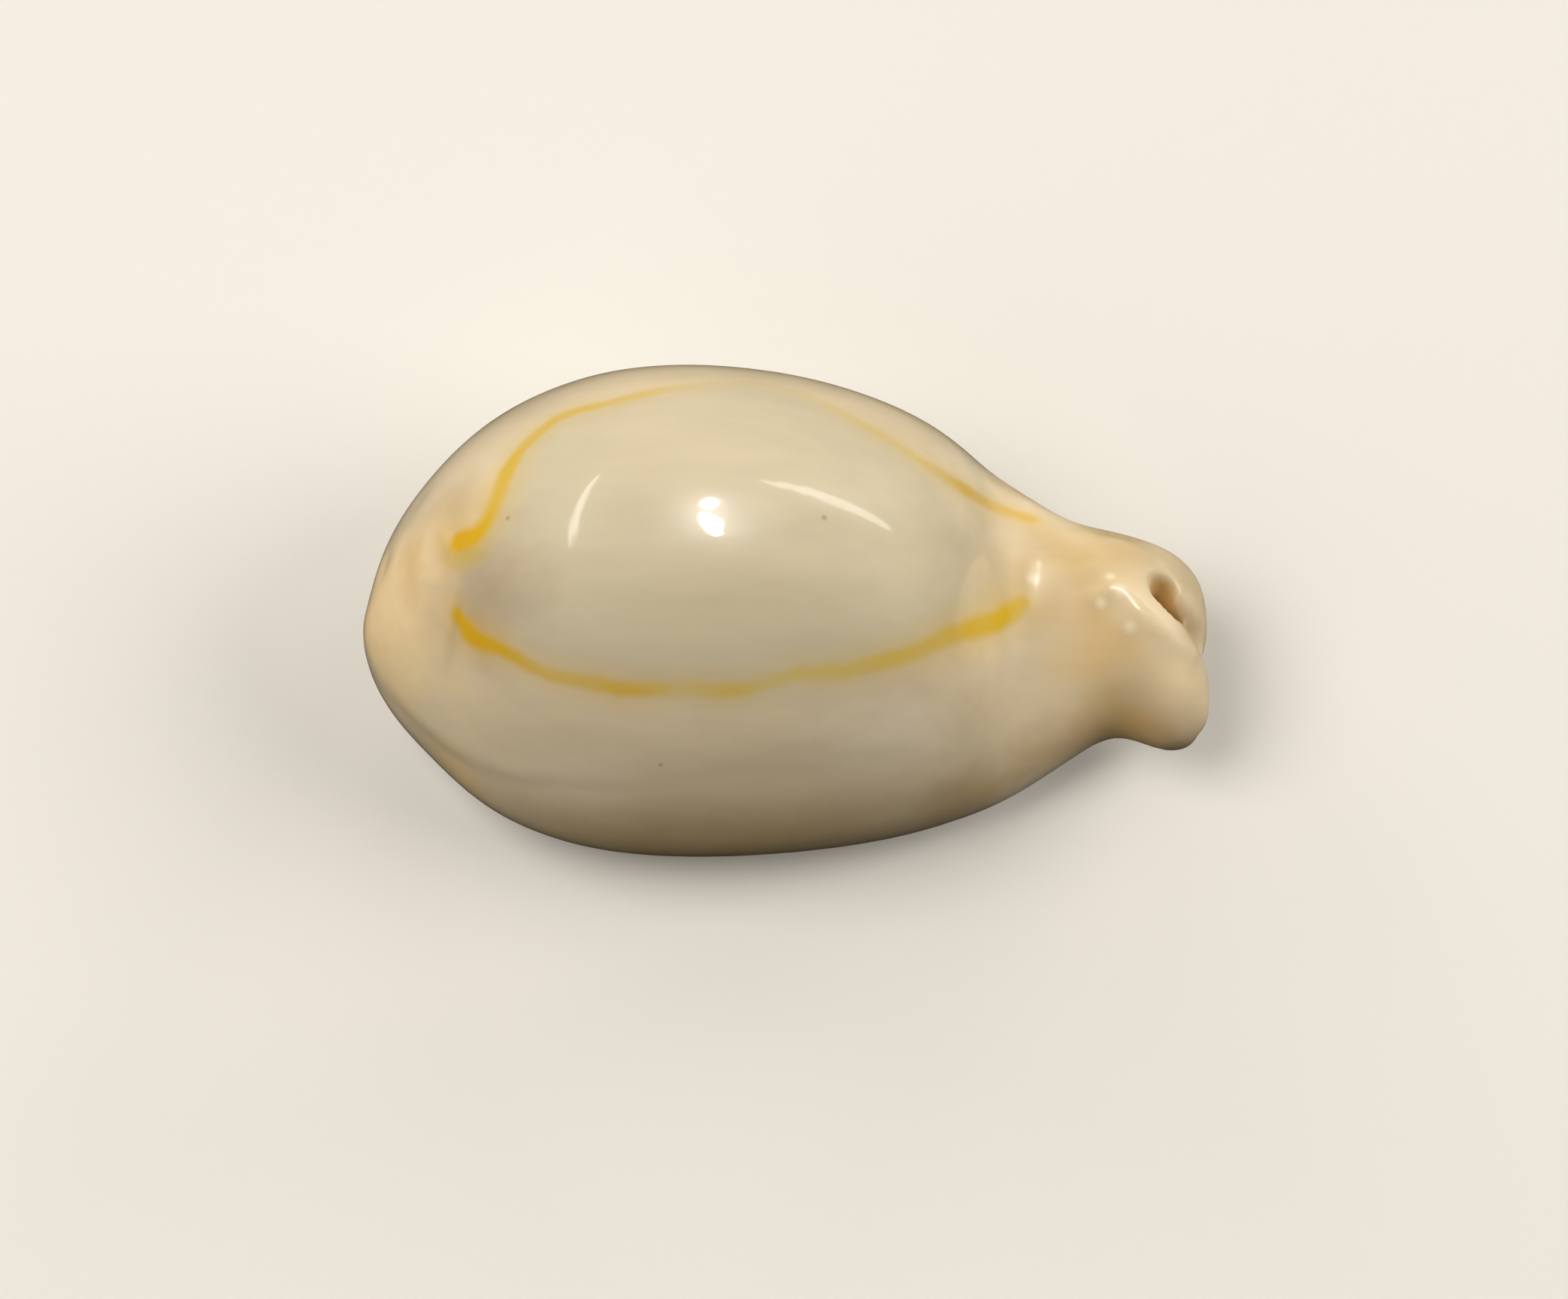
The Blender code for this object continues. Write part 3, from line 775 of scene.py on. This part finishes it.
def mixed(tree, factor, first, second):
    """Two colours, mixed by a factor."""
    inputs = {MIX_FACTOR: factor, MIX_A: first, MIX_B: second}
    return node(tree, "ShaderNodeMix", inputs, data_type="RGBA").outputs[MIX_RESULT]


def math(tree, operation, *values):
    return node(tree, "ShaderNodeMath", dict(enumerate(values)), operation=operation).outputs[0]


def vectors(tree, operation, first, second):
    return node(tree, "ShaderNodeVectorMath", {0: first, 1: second}, operation=operation).outputs[0]


def soft_range(tree, value, low, high, to_low=0.0, to_high=1.0):
    """The value eased from one range to another."""
    inputs = {"Value": value, "From Min": low, "From Max": high, "To Min": to_low, "To Max": to_high}
    return node(tree, "ShaderNodeMapRange", inputs, interpolation_type="SMOOTHSTEP").outputs["Result"]


def noise_value(tree, place, scale, detail=2.0):
    inputs = {"Vector": place, "Scale": scale, "Detail": detail}
    return node(tree, "ShaderNodeTexNoise", inputs).outputs["Fac"]


def centred_noise(tree, place, scale, amount, detail=2.0):
    """Noise round zero, with the amount as its whole range."""
    return math(tree, "MULTIPLY_ADD", noise_value(tree, place, scale, detail), amount, -amount / 2)


def stretched(tree, place, scale):
    return node(tree, "ShaderNodeMapping", {"Vector": place, "Scale": scale}).outputs["Vector"]


def new_group(name, sockets_in, socket_out):
    """An empty node group, with its input and output nodes."""
    group = bpy.data.node_groups.new(name, "ShaderNodeTree")
    for socket_name, kind in sockets_in:
        group.interface.new_socket(socket_name, in_out="INPUT", socket_type=kind)
    group.interface.new_socket(socket_out[0], in_out="OUTPUT", socket_type=socket_out[1])
    return group, group.nodes.new("NodeGroupInput"), group.nodes.new("NodeGroupOutput")


def patch_mask_group():
    """A soft patch: full in its middle, and faded out at its reach."""
    sockets = [("Place", "NodeSocketVector"), ("Middle", "NodeSocketVector"), ("Reach", "NodeSocketVector"),
               ("Strength", "NodeSocketFloat")]
    group, given, put_out = new_group("soft_patch", sockets, ("Mask", "NodeSocketFloat"))
    away = vectors(group, "SUBTRACT", given.outputs["Place"], given.outputs["Middle"])
    share = vectors(group, "DIVIDE", away, given.outputs["Reach"])
    distance = node(group, "ShaderNodeVectorMath", {0: share}, operation="LENGTH").outputs["Value"]
    uneven = centred_noise(group, given.outputs["Place"], PATCH_UNEVEN_SCALE, PATCH_UNEVENNESS)
    mask = soft_range(group, math(group, "ADD", distance, uneven), 1.0, 0.0)
    group.links.new(math(group, "MULTIPLY", mask, given.outputs["Strength"]), put_out.inputs["Mask"])
    return group


def ring_group():
    """The ring's mask from the distance to its middle line, with an uneven edge and uneven strength."""
    sockets = [("Place", "NodeSocketVector"), ("Offset", "NodeSocketFloat"), ("Strength", "NodeSocketFloat")]
    group, given, put_out = new_group("ring_band", sockets, ("Mask", "NodeSocketFloat"))
    ragged = centred_noise(group, given.outputs["Place"], RING_RAGGED_SCALE, RING_RAGGEDNESS, detail=4.0)
    offset = math(group, "ADD", given.outputs["Offset"], ragged)
    core = soft_range(group, offset, *RING_CORE)
    halo = soft_range(group, offset, *RING_HALO, to_high=RING_HALO_STRENGTH)
    band = math(group, "MAXIMUM", core, halo)
    patches = noise_value(group, given.outputs["Place"], RING_PATCH_SCALE, detail=3.0)
    patchy = soft_range(group, patches, *RING_PATCH_NOISE, *RING_PATCH_STRENGTHS)
    strength = math(group, "MULTIPLY", given.outputs["Strength"], patchy)
    group.links.new(math(group, "MULTIPLY", band, strength), put_out.inputs["Mask"])
    return group


def cloud_group():
    """Slow, low changes of tone, drawn out along the shell as its growth is."""
    sockets = [("Place", "NodeSocketVector"), ("Amount", "NodeSocketFloat")]
    group, given, put_out = new_group("growth_clouds", sockets, ("Tone", "NodeSocketFloat"))
    slow = noise_value(group, stretched(group, given.outputs["Place"], SLOW_CLOUDS), 1.0, detail=3.0)
    fine = noise_value(group, stretched(group, given.outputs["Place"], FINE_CLOUDS), 1.0)
    slow_part = math(group, "MULTIPLY", slow, SLOW_CLOUD_SHARE)
    fine_part = math(group, "MULTIPLY", fine, 1 - SLOW_CLOUD_SHARE)
    both = math(group, "ADD", slow_part, fine_part)
    change = math(group, "MULTIPLY", math(group, "SUBTRACT", both, 0.5), given.outputs["Amount"])
    group.links.new(math(group, "ADD", change, 1.0), put_out.inputs["Tone"])
    return group


def attribute(tree, name):
    return node(tree, "ShaderNodeAttribute", attribute_name=name).outputs["Fac"]


def placed(tree, group, inputs):
    """A group in a material, with its own values."""
    return node(tree, "ShaderNodeGroup", inputs, node_tree=group).outputs[0]


def enamel_colour(tree, place, height):
    """Cream with its stains and painted light and shade, the white base, the ring, the dark spots, the
    painted highlights, the canal's brown with its painted shade, and the hollow's painted shade.
    """
    patch_maker, ring, clouds = patch_mask_group(), ring_group(), cloud_group()

    colour = mixed(tree, attribute(tree, "back"), CREAM, BACK_CREAM)
    colour = mixed(tree, attribute(tree, "callus"), colour, CALLUS_CREAM)
    # Stains, and the painted light and shade marked in their list
    for patch_colour, strength, middle, reach in STAINS_AND_PAINTED_SHADING:
        mask = placed(tree, patch_maker, {"Place": place, "Middle": middle, "Reach": reach, "Strength": strength})
        colour = mixed(tree, mask, colour, patch_colour)
    tone = placed(tree, clouds, {"Place": place, "Amount": CLOUD_AMOUNT})
    colour = node(tree, "ShaderNodeHueSaturation", {"Value": tone, "Color": colour}).outputs["Color"]

    colour = mixed(tree, soft_range(tree, height, *WHITE_FADES_Z), colour, BASE_WHITE)
    in_grooves = math(tree, "MULTIPLY", attribute(tree, "grooves"), GROOVE_TAN_STRENGTH)
    colour = mixed(tree, in_grooves, colour, GROOVE_TAN)

    ring_colour = mixed(tree, attribute(tree, "ring_warmth"), RING_OLIVE, RING_ORANGE)
    ring_mask = placed(tree, ring, {
        "Place": place,
        "Offset": attribute(tree, "ring_offset"),
        "Strength": attribute(tree, "ring_strength"),
    })
    on_top = soft_range(tree, height, *RING_FADES_Z)
    colour = mixed(tree, math(tree, "MULTIPLY", ring_mask, on_top), colour, ring_colour)

    # The dark spots, then the painted highlights
    for spots, spot_and_highlight_colour in ((DARK_SPOTS, SPOT_BROWN), (PAINTED_HIGHLIGHTS, PAINTED_HIGHLIGHT_WHITE)):
        for radius, middle in spots:
            mask = placed(tree, patch_maker, {
                "Place": place,
                "Middle": middle,
                "Reach": (radius, radius, radius),
                "Strength": SPOT_AND_HIGHLIGHT_STRENGTH,
            })
            colour = mixed(tree, mask, colour, spot_and_highlight_colour)

    # The canal's brown, partly painted shade, then the hollow's painted shade
    colour = mixed(tree, attribute(tree, "canal"), colour, CANAL_BROWN_AND_SHADE)
    return mixed(tree, soft_range(tree, attribute(tree, "depth"), *HOLLOW_DEPTHS), colour, HOLLOW_PAINTED_SHADE)


def enamel_material():
    """Enamel that is glossy on the body and softer on the beak."""
    material = bpy.data.materials.new("cowrie_enamel")
    material.use_nodes = True
    tree = material.node_tree
    surface = tree.nodes["Principled BSDF"]
    in_metres = node(tree, "ShaderNodeTexCoord").outputs["Object"]
    place = node(tree, "ShaderNodeVectorMath", {0: in_metres, "Scale": 1 / MM}, operation="SCALE").outputs[0]
    along, _, height = node(tree, "ShaderNodeSeparateXYZ", {0: place}).outputs
    tree.links.new(enamel_colour(tree, place, height), surface.inputs["Base Color"])

    uneven = noise_value(tree, place, ROUGHNESS_SCALE, detail=3.0)
    rough = soft_range(tree, uneven, *ROUGHNESS_NOISE, *ROUGHNESS)
    tree.links.new(rough, surface.inputs["Roughness"])
    gloss = soft_range(tree, along, *GLOSS_FADES_X, GLOSS, GLOSS_OF_BEAK)
    tree.links.new(gloss, surface.inputs["Coat Weight"])
    fine = noise_value(tree, place, BUMP_SCALE, detail=3.0)
    bump = node(tree, "ShaderNodeBump", {
        "Height": fine,
        "Strength": BUMP_STRENGTH,
        "Distance": BUMP_HEIGHT * MM,
    })
    tree.links.new(bump.outputs["Normal"], surface.inputs["Normal"])
    tree.links.new(bump.outputs["Normal"], surface.inputs["Coat Normal"])
    surface.inputs["IOR"].default_value = 1.5
    surface.inputs["Coat Roughness"].default_value = 0.07
    surface.inputs["Subsurface Weight"].default_value = 0.15
    surface.inputs["Subsurface Radius"].default_value = (1.0, 0.7, 0.4)
    surface.inputs["Subsurface Scale"].default_value = 0.6 * MM
    return material


def cowrie_shell():
    mesh = shell_mesh()
    shell = bpy.data.objects.new("cowrie_shell_enamelled", mesh)
    bpy.context.scene.collection.objects.link(shell)
    mesh.name = shell.name
    mesh.materials.clear()
    mesh.materials.append(enamel_material())
    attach(shell, "root")
    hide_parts("cowrie_shell")


def floor_material():
    """Plain and pale from above. From below it is clear, so that the base of the shell can be looked at."""
    material = bpy.data.materials.new("pale_floor")
    material.use_nodes = True
    tree = material.node_tree
    surface = tree.nodes["Principled BSDF"]
    surface.inputs["Base Color"].default_value = (*FLOOR_PALE, 1.0)
    surface.inputs["Roughness"].default_value = FLOOR_ROUGHNESS
    surface.inputs["Specular IOR Level"].default_value = 0.0
    from_below = node(tree, "ShaderNodeNewGeometry").outputs["Backfacing"]
    clear = node(tree, "ShaderNodeBsdfTransparent").outputs[0]
    both = node(tree, "ShaderNodeMixShader", {0: from_below, 1: surface.outputs[0], 2: clear})
    tree.links.new(both.outputs[0], tree.nodes["Material Output"].inputs["Surface"])
    return material


def floor():
    bm = bmesh.new()
    bmesh.ops.create_circle(bm, cap_ends=True, segments=FLOOR_SEGMENTS, radius=FLOOR_RADIUS * MM)
    bmesh.ops.translate(bm, verts=bm.verts, vec=(0, 0, -FLOOR_DROP * MM))
    ground = object_from(bm, "floor")
    ground.data.materials.append(floor_material())
    ground.visible_glossy = False
    ground.visible_diffuse = False
    ground.visible_shadow = False


def lamp(name, toward, distance, size, power, colour, in_gloss, long_side=None):
    """A flat lamp that faces the shell. It shows in the gloss alone, or else it lights the shell alone."""
    light = bpy.data.lights.new(name, "AREA")
    light.shape = "ELLIPSE"
    light.size, light.size_y = (side * MM for side in size)
    light.energy = power
    light.color = colour
    made = bpy.data.objects.new(name, light)
    bpy.context.scene.collection.objects.link(made)
    direction = Vector(toward).normalized()
    made.location = (Vector(LAMP_AIM) + direction * distance) * MM
    turned = direction.to_track_quat("Z", "Y").to_matrix()
    if long_side:
        side = Vector(long_side)
        side = (side - side.dot(direction) * direction).normalized()
        turned.col[0] = side
        turned.col[1] = direction.cross(side)
        turned.col[2] = direction
    made.rotation_euler = turned.to_euler()
    made.visible_glossy = in_gloss
    made.visible_diffuse = not in_gloss
    made.visible_camera = False


def lights():
    for number, (azimuth, elevation, power) in enumerate(SOFT_LAMPS, start=1):
        turn, rise = np.radians((azimuth, elevation))
        toward = (np.cos(turn) * np.cos(rise), np.sin(turn) * np.cos(rise), np.sin(rise))
        name = f"soft_light_{number}"
        lamp(name, toward, SOFT_LAMP_DISTANCE, SOFT_LAMP_SIZE, power, SOFT_LAMP_COLOUR, in_gloss=False)
    for name, toward, distance, size, power, long_side in GLOSS_LAMPS:
        lamp(name, toward, distance, size, power, GLOSS_LAMP_COLOUR, in_gloss=True, long_side=long_side)


def world():
    """A pale surround that gives a little even light, and doesn't show in the gloss."""
    made = bpy.data.worlds.new("pale_surround")
    made.use_nodes = True
    tree = made.node_tree
    background = tree.nodes["Background"]
    seen = node(tree, "ShaderNodeLightPath").outputs["Is Camera Ray"]
    tree.links.new(mixed(tree, seen, SURROUND_LIGHT, SURROUND_SEEN), background.inputs["Color"])
    made.cycles_visibility.glossy = False
    bpy.context.scene.world = made


def camera():
    data = bpy.data.cameras.new("camera")
    data.lens = CAMERA_LENS
    data.sensor_width = CAMERA_SENSOR
    data.clip_start = CAMERA_NEAREST * MM
    made = bpy.data.objects.new("camera", data)
    bpy.context.scene.collection.objects.link(made)
    elevation = np.radians(CAMERA_ELEVATION)
    back = Vector((0.0, -np.cos(elevation), np.sin(elevation)))
    made.location = (Vector(CAMERA_AIM) + back * CAMERA_DISTANCE) * MM
    made.rotation_euler = back.to_track_quat("Z", "Y").to_euler()
    bpy.context.scene.camera = made


cowrie_shell()
floor()
lights()
world()
camera()
bpy.context.scene.view_settings.view_transform = "Standard"
